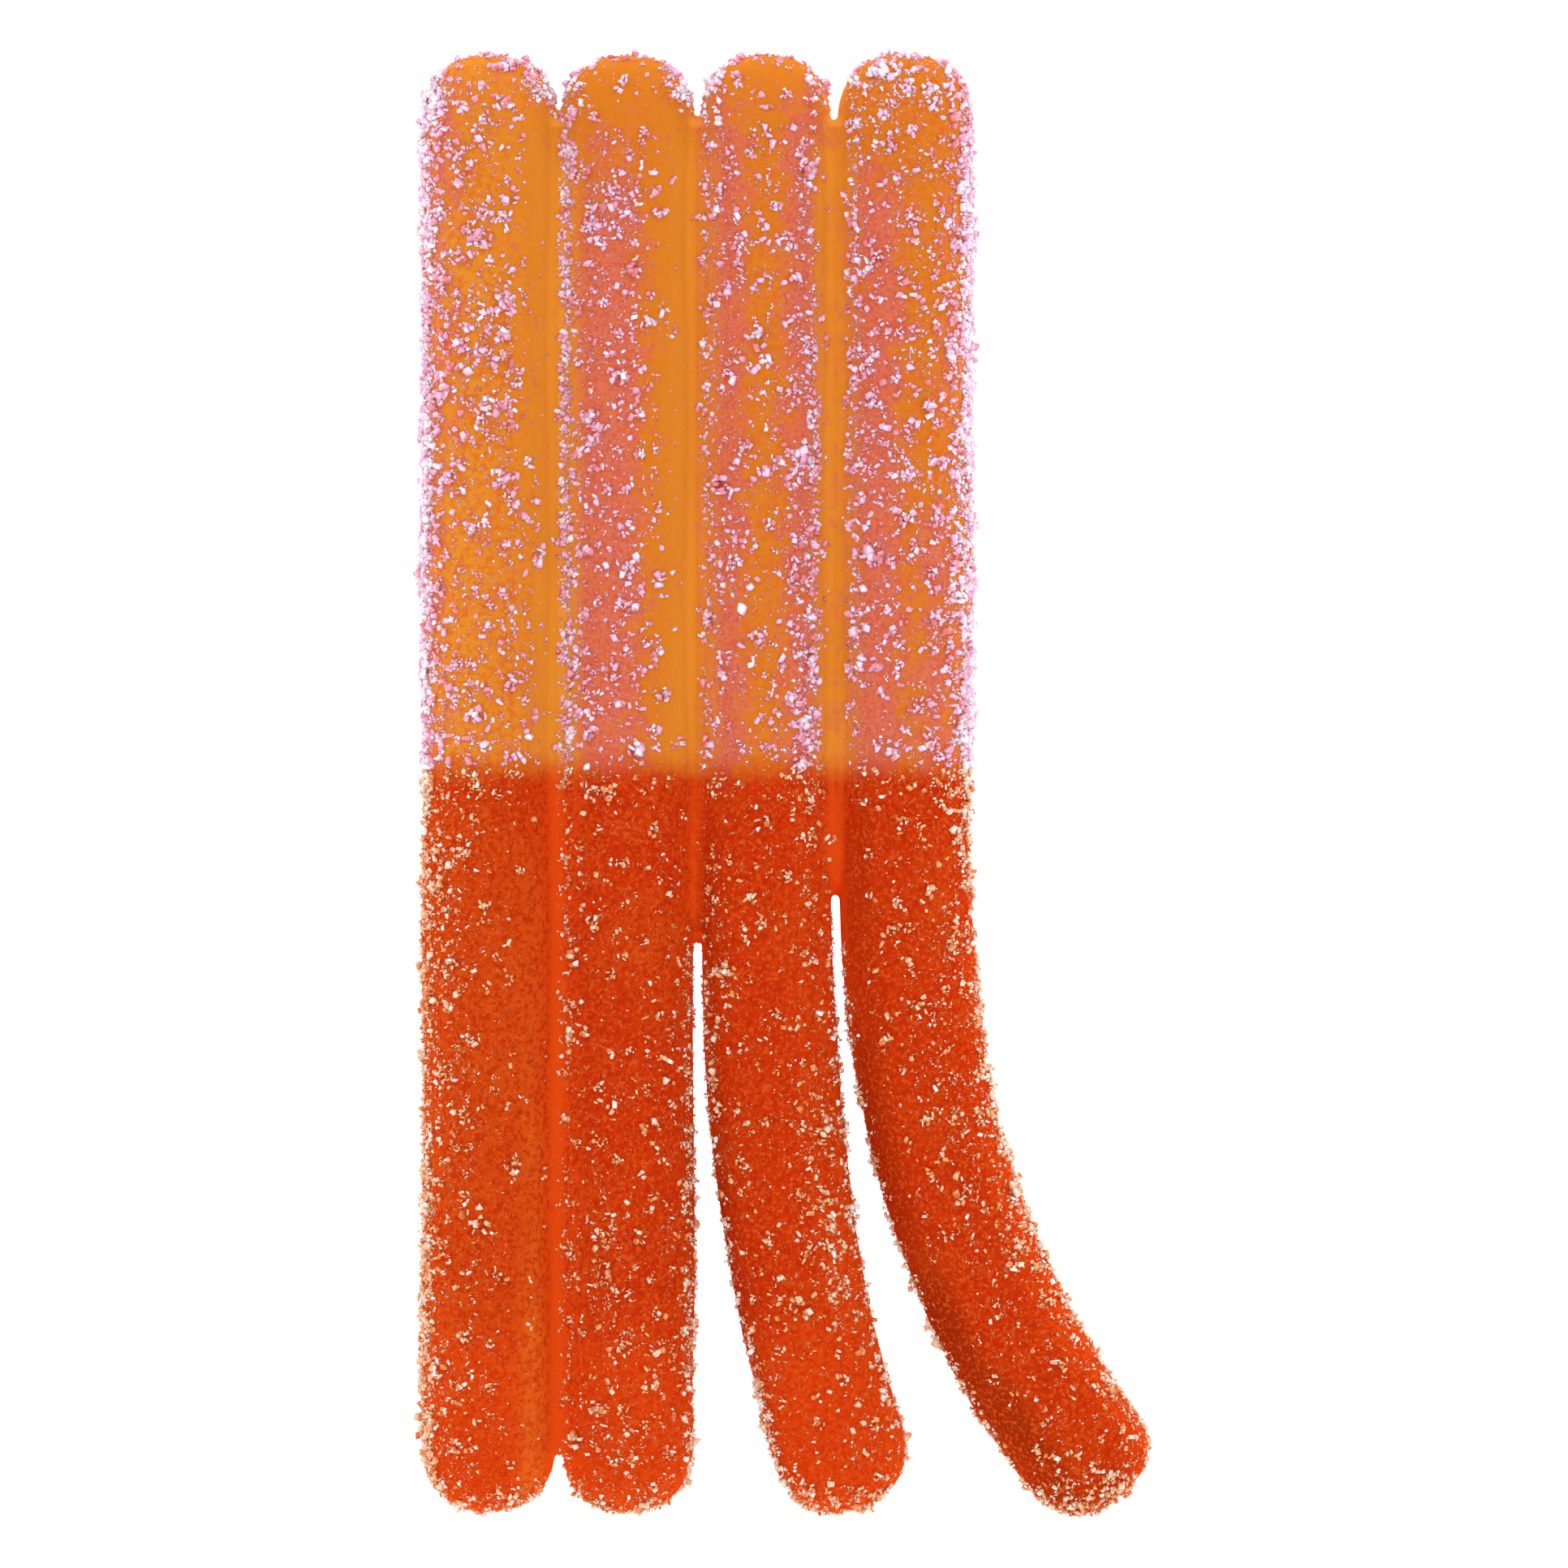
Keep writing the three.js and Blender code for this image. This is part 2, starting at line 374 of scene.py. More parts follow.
# Where fine sugar dust makes the orange pink
HAZE = [
    Patch((0,), (3.0, 43.0), (-2.0, -0.75), 0.75),
    Patch((0,), (0.0, 26.0), (-0.9, -0.5), 0.7),
    Patch((1,), (8.0, 43.0), (-0.9, 0.2), 0.95),
    Patch((1,), (5.0, 9.0), (-0.6, 0.1), 0.6),
    Patch((2,), (3.0, 43.0), (-0.95, -0.35), 1.1),
    Patch((2,), (2.5, 43.0), (0.3, 0.82), 1.0),
    Patch((3,), (7.0, 43.0), (-0.9, -0.05), 1.0),
    Patch((3,), (26.0, 43.0), (0.1, 0.85), 0.7),
    Patch((3,), (8.0, 26.0), (0.6, 0.9), 0.65),
]
# Lighter orange: painted light in the bare valleys, and the first strand's yellower orange
LANES = [
    Patch((0,), (-5.0, 43.0), WHOLE, 0.6),
    Patch((1,), (4.0, 43.0), (0.5, 2.0), 0.5),
    Patch((2,), (4.0, 43.0), (0.82, 2.0), 1.0),
    Patch((3,), (4.0, 43.0), (-2.0, -0.85), 0.7),
    Patch((0,), (8.0, 43.0), (-0.7, 0.1), 0.9),
]
# Darker red, on the flank that is turned away from the light
DUSK = [
    Patch((3,), (42.0, 58.0), (-0.75, -0.55), 0.5),
    Patch((3,), (56.0, 70.0), (-2.0, -0.6), 0.6),
    Patch((3,), (70.0, 90.0), (-2.0, -0.5), 1.0),
    Patch((3,), (76.0, 90.0), (-2.0, -0.3), 1.0),
    Patch((3,), (83.0, 90.0), (-2.0, 0.5), 1.0),
    Patch((2,), (46.0, 84.0), (-2.0, -0.85), 0.5),
]
# Warmer red of the first strand
WARM = [
    Patch((0,), (43.0, 78.0), (-2.0, 0.5), 0.35),
]
# The orange streak down the first strand's right side
STREAK = [
    Patch((0,), (46.0, 90.0), (0.5, 0.85), 0.4),
    Patch((0,), (60.0, 90.0), (0.5, 0.85), 0.7),
    Patch((0,), (72.0, 90.0), (0.5, 0.88), 1.0),
]
# Brighter red: painted light on the crease flanks and on the lit right sides of the third and
# fourth strands, and a brighter red over the ends of the first three strands
BRIGHT = [
    Patch((0,), (43.0, 81.0), (0.95, 2.0), 1.0),
    Patch((1,), (43.0, 81.0), (-2.0, -0.97), 1.0),
    Patch((1,), (43.0, 62.0), (0.85, 2.0), 0.8),
    Patch((2,), (43.0, 49.0), (0.92, 2.0), 1.0),
    Patch((2,), (43.0, 74.0), (0.4, 2.0), 0.35),
    Patch((2,), (66.0, 90.0), (0.4, 2.0), 0.9),
    Patch((0, 1, 2), (74.0, 90.0), (-2.0, 2.0), 0.65),
    Patch((3,), (62.0, 82.0), (0.6, 2.0), 0.5),
]
# Painted light on the flanks of the creases between strands: a brighter colour offsets the shade
FLANK_LIGHT = [
    Patch((0,), (5.0, 90.0), (0.78, 1.0), 0.8),
    Patch((1,), (5.0, 90.0), (-1.1, -0.76), 1.0),
    Patch((1,), (5.0, 43.0), (0.76, 1.0), 0.8),
    Patch((1,), (43.0, 90.0), (0.84, 2.0), 0.6),
    Patch((2, 3), (5.0, 43.0), (-1.0, -0.76), 0.7),
    Patch((2,), (5.0, 43.0), (0.76, 1.0), 0.8),
    Patch((2,), (43.0, 90.0), (0.84, 2.0), 1.2),
]
# Painted light in the creases of the red half: a plainer, brighter red offsets the shade there
CREASE_LIGHT = [
    Patch((0,), (41.5, 82.0), (0.93, 2.0), 1.0),
    Patch((1,), (41.5, 82.0), (-2.0, -0.95), 1.0),
    Patch((1,), (41.5, 55.0), (0.94, 2.0), 0.4),
    Patch((2,), (41.5, 55.0), (-2.0, -0.96), 0.4),
    Patch((2,), (41.5, 53.0), (0.95, 2.0), 1.0),
    Patch((3,), (41.5, 53.0), (-2.0, -0.93), 1.0),
]
# Share of the jelly that sugar covers: the orange half and its caps, then the red half
SUGAR = [
    Patch((0,), ORANGE_END, (-2.0, -0.82), 0.75),
    Patch((0,), ORANGE_END, (-0.82, -0.62), 0.48),
    Patch((0,), BELOW_CAP, (-0.62, 0.1), 0.36),
    Patch((0,), (13.0, 23.0), (-0.3, 0.4), 0.5),
    Patch((0,), (24.0, 42.0), (0.1, 0.45), 0.36),
    Patch((0,), (24.0, 42.0), (0.45, 0.75), 0.22),
    Patch((0,), BELOW_CAP, (0.1, 0.4), 0.26),
    Patch((0,), ORANGE_END, (0.4, 0.62), 0.14),
    Patch((0,), ORANGE_END, (0.62, 0.86), 0.05),
    Patch((1,), (4.5, 24.0), (-1.04, -0.82), 0.78),
    Patch((1,), ORANGE_END, (-1.04, -0.82), 0.6),
    Patch((1,), BELOW_CAP, (-0.82, 0.0), 0.3),
    Patch((1,), (7.0, 11.5), (-0.6, 0.2), 0.5),
    Patch((1,), (28.0, 33.0), (-0.2, 0.2), 0.45),
    Patch((1,), BELOW_CAP, (0.0, 0.3), 0.27),
    Patch((1,), BELOW_CAP, (0.3, 0.55), 0.13),
    Patch((1,), ORANGE_END, (0.55, 0.8), 0.03),
    Patch((2,), ORANGE_END, (-1.0, -0.82), 0.34),
    Patch((2,), BELOW_CAP, (-0.82, 0.45), 0.25),
    Patch((2,), (-5.0, 4.5), (-0.62, 0.6), 0.08),
    Patch((2,), (20.0, 30.0), (0.35, 0.8), 0.6),
    Patch((2,), BELOW_CAP, (0.45, 0.77), 0.5),
    Patch((2,), (33.0, 42.0), (0.5, 0.82), 0.64),
    Patch((2,), ORANGE_END, (0.82, 0.92), 0.08),
    Patch((3,), ORANGE_END, (-0.86, -0.6), 0.4),
    Patch((3,), ORANGE_END, (-0.6, 0.35), 0.3),
    Patch((3,), ORANGE_END, (0.35, 0.62), 0.36),
    Patch((3,), ORANGE_END, (0.62, 0.82), 0.5),
    Patch((3,), (5.0, CHANGE_AT + 2.0), (0.82, 2.0), 0.88),
    Patch((3,), (-5.0, 6.0), (0.82, 2.0), 0.6),
    Patch((3,), (-5.0, 4.0), (-0.85, 0.65), 0.37),
    Patch((0,), (-5.0, 5.0), (-0.7, 0.5), 0.2),
    Patch((1,), (-5.0, 5.0), (-0.7, 0.5), 0.1),
    Patch((0, 1, 2), (-5.0, 3.2), (-2.0, -0.62), 0.55),
    Patch((0, 1), (-5.0, 3.2), (0.5, 2.0), 0.5),
    Patch((2,), (-5.0, 3.2), (0.6, 2.0), 0.35),
    Patch((0, 1, 2, 3), (-5.0, 0.6), WHOLE, 0.35),
    Patch((0,), (CHANGE_AT - 2.0, 51.0), (-2.0, -0.82), 0.6),
    Patch((0,), (51.0, 62.0), (-2.0, -0.82), 0.43),
    Patch((0,), (62.0, 74.0), (-2.0, -0.82), 0.8),
    Patch((0,), (74.0, 90.0), (-2.0, -0.82), 0.86),
    Patch((0,), (43.0, 54.0), (-0.82, -0.4), 0.42),
    Patch((0,), (43.0, 50.0), (-0.4, 0.0), 0.26),
    Patch((0,), (43.0, 63.0), (-0.82, -0.1), 0.32),
    Patch((0,), (74.0, 90.0), (-0.82, -0.2), 0.36),
    Patch((0,), (74.0, 90.0), (-0.2, 0.1), 0.24),
    Patch((0,), RED_END, (-0.82, -0.1), 0.2),
    Patch((0,), RED_END, (-0.1, 0.35), 0.1),
    Patch((0,), RED_END, (0.35, 0.85), 0.03),
    Patch((1,), RED_END, (-1.04, -0.82), 0.32),
    Patch((1,), RED_END, (-0.82, 0.86), 0.12),
    Patch((1,), (67.0, 84.0), (-0.55, 0.15), 0.36),
    Patch((1,), (74.0, 90.0), (0.1, 0.75), 0.24),
    Patch((1,), (50.5, 64.0), (0.84, 0.97), 0.43),
    Patch((1,), (64.0, 90.0), (0.84, 0.97), 0.52),
    Patch((1,), (52.0, 90.0), (0.97, 2.0), 0.25),
    Patch((2,), RED_END, (-1.0, 0.4), 0.13),
    Patch((2,), RED_END, (0.4, 0.85), 0.22),
    Patch((2,), (66.0, 73.5), (0.15, 0.75), 0.46),
    Patch((2,), (58.0, 76.0), (0.3, 0.6), 0.38),
    Patch((2,), (52.0, 63.0), (-0.97, -0.84), 0.46),
    Patch((2,), (63.0, 74.0), (-0.97, -0.84), 0.28),
    Patch((2,), (74.0, 90.0), (-0.97, -0.84), 0.58),
    Patch((2,), (52.0, 90.0), (-2.0, -0.97), 0.25),
    Patch((2,), (49.5, 66.0), (0.88, 2.0), 0.25),
    Patch((2,), (45.0, 49.5), (0.88, 0.94), 0.4),
    Patch((2,), (64.0, 90.0), (0.84, 0.97), 0.38),
    Patch((2,), (64.0, 90.0), (0.97, 2.0), 0.22),
    Patch((3,), RED_END, (-0.6, -0.25), 0.1),
    Patch((3,), RED_END, (-0.25, 0.4), 0.1),
    Patch((3,), RED_END, (0.4, 0.62), 0.14),
    Patch((3,), RED_END, (0.62, 0.82), 0.36),
    Patch((3,), (49.0, 90.0), (-0.25, 0.2), 0.22),
    Patch((3,), (49.0, 72.0), (-0.1, 0.7), 0.27),
    Patch((3,), (49.0, 90.0), (0.2, 0.62), 0.24),
    Patch((3,), (52.0, 90.0), (-2.0, -0.88), 0.24),
    Patch((3,), (41.5, 50.0), (0.82, 2.0), 0.54),
    Patch((3,), (50.0, 90.0), (0.82, 2.0), 0.42),
    Patch((0, 1, 2, 3), (82.5, 90.0), WHOLE, 0.4),
]
# Where the sugar is whitest: partly where it lies thickest, at the outer edges, and partly painted
# light on grains in the shade of the notches, creases and gaps
FROST_AND_LIGHT = [
    Patch((0,), ORANGE_END, (-2.0, -0.8), 0.25),
    Patch((3,), (6.0, CHANGE_AT + 2.0), (0.8, 2.0), 0.3),
    Patch((3,), (-5.0, 4.0), (-0.85, 0.65), 0.2),
    Patch((1, 2), ORANGE_END, (-2.0, -0.8), 0.15),
    Patch((0, 1, 2), (-5.0, 4.5), (0.6, 2.0), 0.3),
    Patch((0, 1, 2, 3), (-5.0, 4.5), (-2.0, -0.6), 0.3),
    Patch((1, 2), (50.0, 90.0), (0.82, 2.0), 0.25),
    Patch((2, 3), (50.0, 90.0), (-2.0, -0.82), 0.25),
    Patch((3,), (43.0, 90.0), (0.8, 2.0), 0.15),
]

# The patches that the jelly carries as fields, each with the softness of its edges
FIELDS = {
    "haze": (HAZE, HAZE_SOFT),
    "lane": (LANES, COLOUR_SOFT),
    "flank_light": (FLANK_LIGHT, COLOUR_SOFT),
    "dusk": (DUSK, COLOUR_SOFT),
    "warm": (WARM, COLOUR_SOFT),
    "streak": (STREAK, COLOUR_SOFT),
    "bright": (BRIGHT, COLOUR_SOFT),
    "crease": (CREASE_LIGHT, CREASE_SOFT),
    "sugared": (SUGAR, SUGAR_SOFT),
}


# Sugar crystals

SHAPE_COUNT = 24
SHAPE_WIDTH = (0.5, 0.95)  # sides of a grain as shares of its length
SHAPE_HEIGHT = (0.35, 0.65)
SHAPE_TOP = (0.45, 0.85)  # how much smaller the top is than the foot
SHAPE_JITTER = 0.12
DRAWS = 220000  # random places that the sugar is chosen from
CLUSTERING = 0.55  # how patchy the sugar lies
CLUSTER_FREQUENCY = 0.7  # in 1/mm
CLUSTER_GAIN = 2.2  # brings the noise to about -1 to 1
SIZE_SPREAD = 0.25
CHAIN_STEPS = 3
CHAIN_CHANCE = 0.45
CHAIN_STEP = 0.7  # distance between neighbours in a chain, as a share of their size
GRAIN_RISE = 0.1  # height of a grain's middle over the jelly, as a share of its size
STAND_OUT = 0.5  # how far grains in chains may stand out from the flanks, as a share of their size
FOOTPRINT = 0.55  # area of a grain as a share of its size squared
UNDERSIDE = 0.35  # how much of the sugar stays on the underside
UNDERSIDE_HEIGHT = (0.2, 0.8)  # up to where the underside reaches
ROOM_SHARE = 0.6  # largest grain in a gap between strands, as a share of the gap
LEAN = 0.3  # how far most grains lean, and how far the loose ones do
LOOSE_LEAN = 1.5
LOOSE_SHARE = 0.2
FACET_TONE = 0.2  # how far the facets of a grain may differ from its tone
TOP_FACET = 0.75  # a facet that faces up by more than this is the grain's top
CLEAR_TOP = 0.2  # what is left of the tone on the top of a clear grain
SIDE_TONE = 0.15  # how much dimmer the sides of the other grains are
LUMP_GRAINS = (6, 11)
LUMP_GRAIN_SHARE = 0.45  # size of a grain as a share of its lump's
LUMP_GRAIN_SPREAD = (0.75, 1.25)
LUMP_HEIGHT = 0.3
TINY = 1e-9

# Size classes of the sugar: share of the cover, lengths in millimetres, how much dimmer it is, and
# how many corners a grain has at its foot and its top
Kind = namedtuple("Kind", "name share middle low high dim corners")
COARSE = Kind("coarse", share=0.5, middle=0.4, low=0.3, high=0.65, dim=0.0, corners=(4, 4))
MEDIUM = Kind("medium", share=0.33, middle=0.25, low=0.17, high=0.34, dim=0.05, corners=(3, 3))
FINE = Kind("fine", share=0.36, middle=0.15, low=0.1, high=0.2, dim=0.15, corners=(3, 1))
KINDS = (COARSE, MEDIUM, FINE)

# What differs between the two colours of sugar: size and width of the grains, the two powers of the
# beta distribution of their tones, and the share of clear grains
Tint = namedtuple("Tint", "scale width tones clear")
PINK = Tint(scale=1.15, width=(0.65, 1.15), tones=(1.8, 1.4), clear=0.15)
CREAM = Tint(scale=0.95, width=(0.45, 1.05), tones=(1.7, 1.5), clear=0.25)


def crystal_shapes(rng, foot, head):
    """Grains lying on their feet: corners, triangles, and how far each triangle faces up."""
    shapes = []
    for _ in range(SHAPE_COUNT):
        width = rng.uniform(*SHAPE_WIDTH)
        height = rng.uniform(*SHAPE_HEIGHT)
        top = rng.uniform(*SHAPE_TOP)
        grain = bmesh.new()
        for level, count, reach in ((-1, foot, 1.0), (1, head, top)):
            for turn in (np.arange(count) + 0.5) / count * 2 * math.pi:
                side = reach * width * math.sin(turn)
                corner = np.array([reach * math.cos(turn), side, level * height])
                grain.verts.new(corner / 2 + rng.uniform(-SHAPE_JITTER, SHAPE_JITTER, 3))
        bmesh.ops.convex_hull(grain, input=grain.verts)
        bmesh.ops.triangulate(grain, faces=grain.faces)
        loose = [vertex for vertex in grain.verts if not vertex.link_faces]
        bmesh.ops.delete(grain, geom=loose, context="VERTS")
        bmesh.ops.recalc_face_normals(grain, faces=grain.faces)
        grain.normal_update()
        grain.verts.index_update()
        corners = np.array([vertex.co for vertex in grain.verts])
        triangles = np.array([[vertex.index for vertex in face.verts] for face in grain.faces])
        upward = np.array([face.normal.z for face in grain.faces])
        grain.free()
        shapes.append((corners, triangles, upward))
    return shapes


def lying_turns(rng, normals):
    """Turns that lay each grain on the surface, leaning a little, with a few loose ones on edge."""
    count = len(normals)
    lean = np.where(rng.uniform(size=(count, 1)) < LOOSE_SHARE, LOOSE_LEAN, LEAN)
    up = normals + rng.normal(size=(count, 3)) * lean / math.sqrt(3)
    up /= np.linalg.norm(up, axis=1, keepdims=True)
    side = np.cross(up, rng.normal(size=(count, 3)))
    side /= np.linalg.norm(side, axis=1, keepdims=True)
    return np.stack([side, np.cross(up, side), up], axis=-1)


def surface_draws(rng, mesh, count):
    """Random places all over a mesh, even by area, the outward directions there, and its area."""
    mesh.calc_loop_triangles()
    triangles = np.empty(len(mesh.loop_triangles) * 3, np.int32)
    mesh.loop_triangles.foreach_get("vertices", triangles)
    a, b, c = vertex_places(mesh)[triangles.reshape(-1, 3)].transpose(1, 0, 2)
    cross = np.cross(b - a, c - a)
    doubled = np.linalg.norm(cross, axis=1)
    chosen = rng.choice(len(cross), count, p=doubled / doubled.sum())
    u, v = rng.uniform(size=(2, count, 1))
    u, v = np.where(u + v > 1, 1 - u, u), np.where(u + v > 1, 1 - v, v)
    places = a[chosen] + (b - a)[chosen] * u + (c - a)[chosen] * v
    return places, cross[chosen] / doubled[chosen, None], doubled.sum() / 2


def settle(tree, points):
    """Each point moved to the jelly's surface, and the outward direction there."""
    places = np.zeros_like(points)
    normals = np.zeros_like(points)
    for row, point in enumerate(points):
        places[row], normals[row], _, _ = tree.find_nearest(Vector(point))
    return places, normals


def tangent_step(rng, places, normals, step):
    """A point one step from each place, in a random direction along the surface."""
    direction = np.cross(normals, rng.normal(size=normals.shape))
    direction /= np.linalg.norm(direction, axis=1, keepdims=True) + TINY
    return places + direction * step[:, None]


def grain_sizes(rng, count, kind):
    return np.clip(kind.middle * np.exp(rng.normal(0.0, SIZE_SPREAD, count)), kind.low, kind.high)


def scatter(rng, mesh, tree, kind):
    """Places, outward directions and sizes of grains, covering what the patches of sugar say."""
    points, normals, area = surface_draws(rng, mesh, DRAWS)
    cover = patch_field(SUGAR, SUGAR_SOFT, *strand_place(points))
    in_chain = sum(CHAIN_CHANCE**step for step in range(CHAIN_STEPS + 1))
    each = FOOTPRINT * kind.middle**2 * in_chain
    under = mix(UNDERSIDE, 1.0, smoothstep(points[:, 2], *UNDERSIDE_HEIGHT))
    wanted = -np.log(1 - cover) * kind.share / each * under * area / DRAWS
    chosen = rng.uniform(size=DRAWS) < wanted * (1 + CLUSTERING)
    points, normals = points[chosen], normals[chosen]
    patchy = np.array([noise.noise(Vector(point) * CLUSTER_FREQUENCY) for point in points])
    kept = (1 + CLUSTERING * CLUSTER_GAIN * patchy) / (1 + CLUSTERING)
    chosen = rng.uniform(size=len(points)) < kept
    points, normals = points[chosen], normals[chosen]

    sizes = grain_sizes(rng, len(points), kind)
    found = [(points, normals, sizes)]
    for _ in range(CHAIN_STEPS):
        goes_on = rng.uniform(size=len(points)) < CHAIN_CHANCE
        step = tangent_step(rng, points[goes_on], normals[goes_on], sizes[goes_on] * CHAIN_STEP)
        points, normals = settle(tree, step)
        sizes = grain_sizes(rng, len(points), kind)
        out = rng.uniform(size=len(points)) * sizes * STAND_OUT * (1 - np.abs(normals[:, 2]))
        found.append((points + normals * out[:, None], normals, sizes))
    points, normals, sizes = (np.concatenate(parts) for parts in zip(*found))
    fits = sizes < room_beside(points) * ROOM_SHARE
    return points[fits], normals[fits], sizes[fits]


def fraction(value):
    return value - math.floor(value)


def lump_places():
    """The CAD part's large crystals, by its own rule: a place on the skin and a size for each."""
    along_turn, angle_turn, size_turn = LUMP_TURNS
    found = []
    for index, strand in enumerate(STRANDS):
        edges = np.array([strand.sugar_to, strand.sugar_from])
        first, last = np.arccos(signed_power(edges, CROWN_POWER / 2))
        for turn in range(LUMPS_PER_STRAND):
            draw = turn + index * LUMPS_PER_STRAND
            share = (turn + fraction(draw * along_turn)) / LUMPS_PER_STRAND
            along = mix(strand.start + LUMP_INSET, STICK_LENGTH - LUMP_INSET, share)
            angle = mix(first, last, fraction(draw * angle_turn))
            size = mix(LUMP_SMALL, LUMP_LARGE, fraction(draw * size_turn) ** LUMP_SIZE_POWER)
            point = skin_point(index, along, angle)
            crowded = any(
                np.linalg.norm(other - point) < LUMP_GAP * (near + size) / 2 for other, near in found
            )
            if point[2] > LUMP_FLOOR and not in_web(point) and not crowded:
                found.append((point, size))
    return found


def in_web(point):
    along = ORIGIN_Y - point[1]
    for index, web in enumerate(WEBS):
        beside = abs(point[0] - web_middle(index)) < WEB_HALF_WIDTH
        if beside and along < web.to and point[2] < WEB_HEIGHT + WEB_CLEARANCE:
            return True
    return False


def lump_grains(rng, tree):
    """A small heap of grains at each of the CAD part's large crystals."""
    places = []
    normals = []
    sizes = []
    for point, size in lump_places():
        place, normal, _, _ = tree.find_nearest(Vector(point))
        side = normal.orthogonal().normalized()
        other = normal.cross(side)
        for _ in range(rng.integers(*LUMP_GRAINS)):
            away = math.sqrt(rng.uniform()) * size / 2
            turn = rng.uniform(0.0, 2 * math.pi)
            rise = LUMP_HEIGHT * size * (1 - (2 * away / size) ** 2)
            spot = place + side * (away * math.cos(turn)) + other * (away * math.sin(turn))
            places.append(spot + normal * rise)
            normals.append(normal)
            sizes.append(size * LUMP_GRAIN_SHARE * rng.uniform(*LUMP_GRAIN_SPREAD))
    return np.array(places), np.array(normals), np.array(sizes)


def grains_mesh(rng, name, shapes, kind, tint, places, normals, sizes):
    """One mesh of all these grains, with a tone for each facet from 0, clear, to 1, white."""
    count = len(places)
    sizes = sizes * tint.scale
    shape_of = rng.integers(len(shapes), size=count)
    stretch = np.ones((count, 3))
    stretch[:, 1] = rng.uniform(*tint.width, count)
    turns = lying_turns(rng, normals)
    # whiter sugar, partly painted light on grains that lie in shade
    frost_and_light = patch_field(FROST_AND_LIGHT, COLOUR_SOFT, *strand_place(places))
    tones = rng.beta(*tint.tones, count) + frost_and_light - kind.dim
    clear = rng.uniform(size=count) < tint.clear
    middles = places + normals * (sizes * GRAIN_RISE)[:, None]
    vertices = []
    triangles = []
    facet_tones = []
    offset = 0
    for number, (corners, faces, upward) in enumerate(shapes):
        rows = np.flatnonzero(shape_of == number)
        local = corners[None] * (stretch[rows] * sizes[rows, None])[:, None, :]
        turned = np.einsum("nij,nkj->nki", turns[rows], local) + middles[rows, None, :]
        vertices.append(turned.reshape(-1, 3))
        starts = offset + np.arange(len(rows)) * len(corners)
        triangles.append((starts[:, None, None] + faces[None]).reshape(-1, 3))
        offset += len(rows) * len(corners)
        tone = tones[rows, None] + rng.uniform(-FACET_TONE, FACET_TONE, (len(rows), len(faces)))
        on_top = upward[None] > TOP_FACET
        see_through = clear[rows, None]
        tone = np.where(on_top & see_through, tone * CLEAR_TOP, tone)
        tone = np.where(on_top | see_through, tone, tone - SIDE_TONE)
        facet_tones.append(tone.ravel())
    vertices = np.concatenate(vertices)
    vertices[:, 2] = np.maximum(vertices[:, 2], 0.0)
    triangles = np.concatenate(triangles)
    mesh = bpy.data.meshes.new(name)
    mesh.vertices.add(len(vertices))
    mesh.vertices.foreach_set("co", (vertices * MM).ravel())
    mesh.loops.add(triangles.size)
    mesh.loops.foreach_set("vertex_index", triangles.ravel().astype(np.int32))
    mesh.polygons.add(len(triangles))
    mesh.polygons.foreach_set("loop_start", np.arange(0, triangles.size, 3, dtype=np.int32))
    mesh.update(calc_edges=True)
    tone = mesh.attributes.new("tone", "FLOAT", "FACE")
    tone.data.foreach_set("value", np.clip(np.concatenate(facet_tones), 0.0, 1.0).astype(np.float32))
    return mesh


# Materials

def colour(red, green, blue, shade=1.0):
    """A colour given as the 0 to 255 values of a picture, darkened by a factor, for a shader."""
    def linear(value):
        value /= 255
        return shade * (value / 12.92 if value <= 0.04045 else ((value + 0.055) / 1.055) ** 2.4)

    return (linear(red), linear(green), linear(blue), 1.0)


